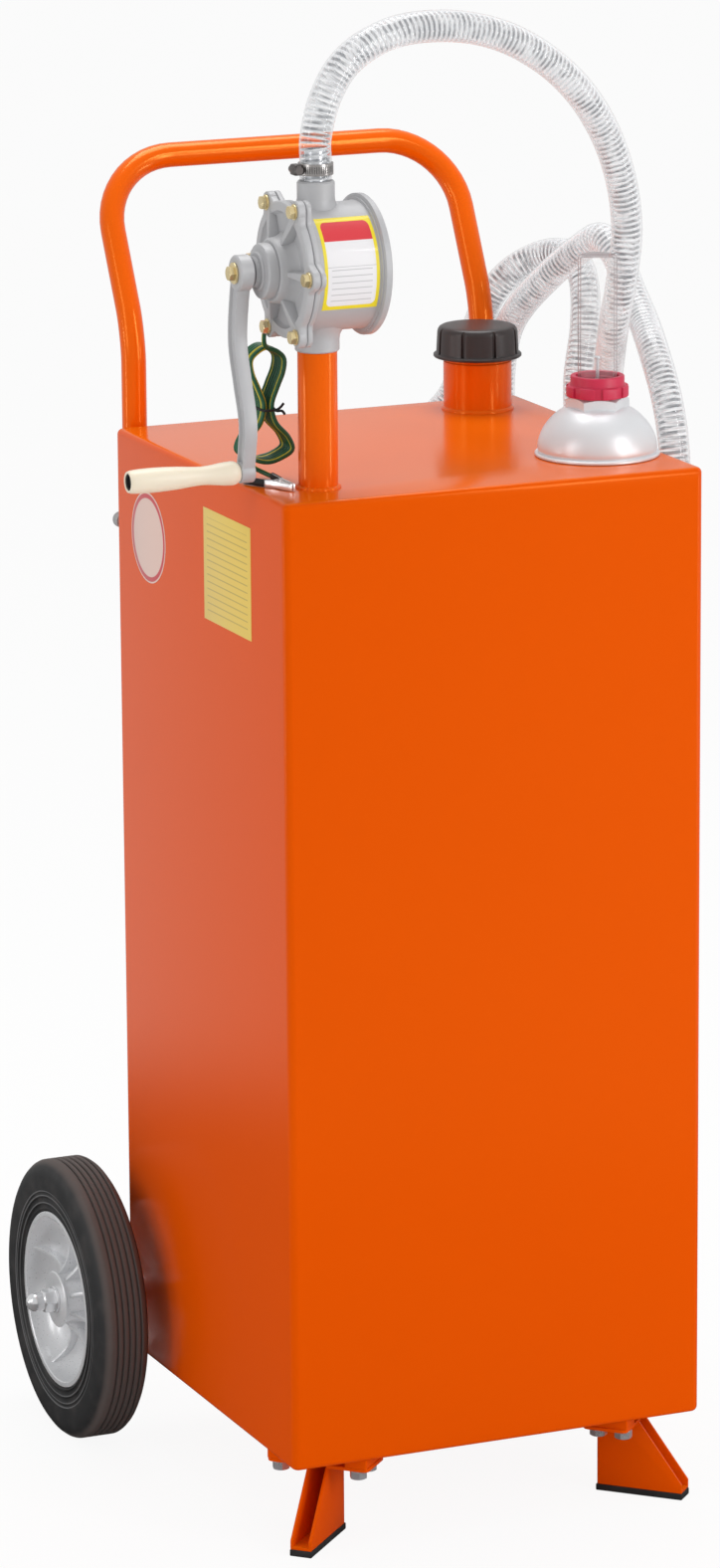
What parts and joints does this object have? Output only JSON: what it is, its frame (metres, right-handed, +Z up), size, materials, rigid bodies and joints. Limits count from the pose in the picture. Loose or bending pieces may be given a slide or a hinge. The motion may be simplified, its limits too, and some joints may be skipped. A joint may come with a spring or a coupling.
{
  "type": "fuel caddy",
  "caption": "Upright square steel fuel tank on two rear wheels and two front feet, with a hand-cranked rotary pump, clear delivery hose, filling neck and sight gauge.",
  "frame": {"origin": "on the ground under the middle of the box round everything but the hose, the earthing lead and its clip", "axes": "+Z up, -Y the front with the two feet, +Y the back with the wheels and the handle, the crank towards -X"},
  "size_m": [0.5964, 0.5358, 1.3145],
  "materials": {
    "orange_paint": "gloss",
    "bumper_grey": "matte",
    "black_rubber": "matte",
    "tyre_black": "matte",
    "rim_grey": "satin",
    "zinc_steel": "satin",
    "cast_grey": "cast",
    "dome_silver": "satin",
    "brass_bolts": "polished",
    "cap_black": "satin",
    "collar_crimson": "gloss",
    "clear_plastic": "clear",
    "grip_ivory": "gloss",
    "lead_green": "satin"
  },
  "bodies": {
    "tank": {"tank_body": "orange_paint", "tank_top": "orange_paint", "tank_floor": "orange_paint", "pump_post": "orange_paint", "fill_neck": "orange_paint", "handle": "orange_paint", "left_foot": "orange_paint", "right_foot": "orange_paint", "axle_housing": "orange_paint", "nozzle_holster": "orange_paint", "rear_bumper": "bumper_grey", "left_foot_pad": "black_rubber", "right_foot_pad": "black_rubber", "left_foot_bolt_1": "zinc_steel", "left_foot_bolt_2": "zinc_steel", "right_foot_bolt_1": "zinc_steel", "right_foot_bolt_2": "zinc_steel", "axle": "zinc_steel", "left_axle_nut": "zinc_steel", "right_axle_nut": "zinc_steel", "hose_clamp": "zinc_steel", "suction_pipe": "zinc_steel", "gauge_stem": "zinc_steel", "clip_jaw_2": "zinc_steel", "pump_body": "cast_grey", "pump_cover": "cast_grey", "gland_nut": "cast_grey", "gauge_dome": "dome_silver", "cover_bolt_1": "brass_bolts", "cover_bolt_2": "brass_bolts", "cover_bolt_3": "brass_bolts", "cover_bolt_4": "brass_bolts", "cover_bolt_5": "brass_bolts", "cover_bolt_6": "brass_bolts", "outlet_nipple": "brass_bolts", "nozzle_body": "cap_black", "gauge_collar": "collar_crimson", "gauge_tube": "clear_plastic", "hose": "clear_plastic", "ground_wire": "lead_green"},
    "left_wheel": {"left_wheel_rim": "rim_grey", "left_tyre": "tyre_black"},
    "right_wheel": {"right_wheel_rim": "rim_grey", "right_tyre": "tyre_black"},
    "crank": {"crank_arm": "cast_grey", "crank_bolt": "brass_bolts", "grip_pin": "zinc_steel", "pump_shaft": "zinc_steel", "pump_rotor": "cast_grey", "pump_vane_1": "zinc_steel", "pump_vane_2": "zinc_steel"},
    "grip": {"crank_grip": "grip_ivory"},
    "cap_seal": {"cap_gasket": "black_rubber"},
    "cap": {"fill_cap": "cap_black"},
    "float": {"float_arm": "zinc_steel", "gauge_float": "cap_black"},
    "rod": {"gauge_rod": "zinc_steel"},
    "lever": {"nozzle_lever": "zinc_steel"},
    "clip_jaw": {"clip_jaw_1": "zinc_steel"}
  },
  "joints": [
    {"name": "left_wheel_spin", "type": "hinge", "parent": "tank", "child": "left_wheel", "pos_m": [-0.2271, 0.14085, 0.127], "axis": [1, 0, 0], "continuous": true},
    {"name": "right_wheel_spin", "type": "hinge", "parent": "tank", "child": "right_wheel", "pos_m": [0.2489, 0.14085, 0.127], "axis": [1, 0, 0], "continuous": true},
    {"name": "crank_turn", "type": "hinge", "parent": "tank", "child": "crank", "pos_m": [-0.1891, -0.19815, 1.11], "axis": [1, 0, 0], "continuous": true},
    {"name": "grip_spin", "type": "hinge", "parent": "crank", "child": "grip", "pos_m": [-0.2471, -0.20115, 0.943], "axis": [1, 0, 0], "continuous": true},
    {"name": "cap_lift", "type": "slide", "parent": "tank", "child": "cap_seal", "axis": [0, 0, 1], "range_m": [0, 0.06]},
    {"name": "cap_turn", "type": "hinge", "parent": "cap_seal", "child": "cap", "pos_m": [0.1449, 0.07885, 0.985], "axis": [0, 0, 1], "continuous": true},
    {"name": "float_swing", "type": "hinge", "parent": "tank", "child": "float", "pos_m": [0.1469, -0.16315, 0.49], "axis": [0, 1, 0], "range_deg": [0, 140]},
    {"name": "rod_rise", "type": "slide", "parent": "tank", "child": "rod", "axis": [0, 0, 1], "range_m": [0, 0.076]},
    {"name": "lever_squeeze", "type": "hinge", "parent": "tank", "child": "lever", "pos_m": [0.2539, 0.04885, 0.8527], "axis": [0, 1, 0], "range_deg": [0, 13], "stiffness_Nm_per_rad": 1, "springref_deg": -5.73},
    {"name": "clip_open", "type": "hinge", "parent": "tank", "child": "clip_jaw", "pos_m": [-0.15749, -0.18609, 0.9275], "axis": [0, 0, -1], "range_deg": [0, 25], "stiffness_Nm_per_rad": 0.3, "springref_deg": -11.46}
  ],
  "couplings": [
    {"joint": "rod_rise", "follows": "float_swing", "m_per_rad": 0.031103}
  ]
}
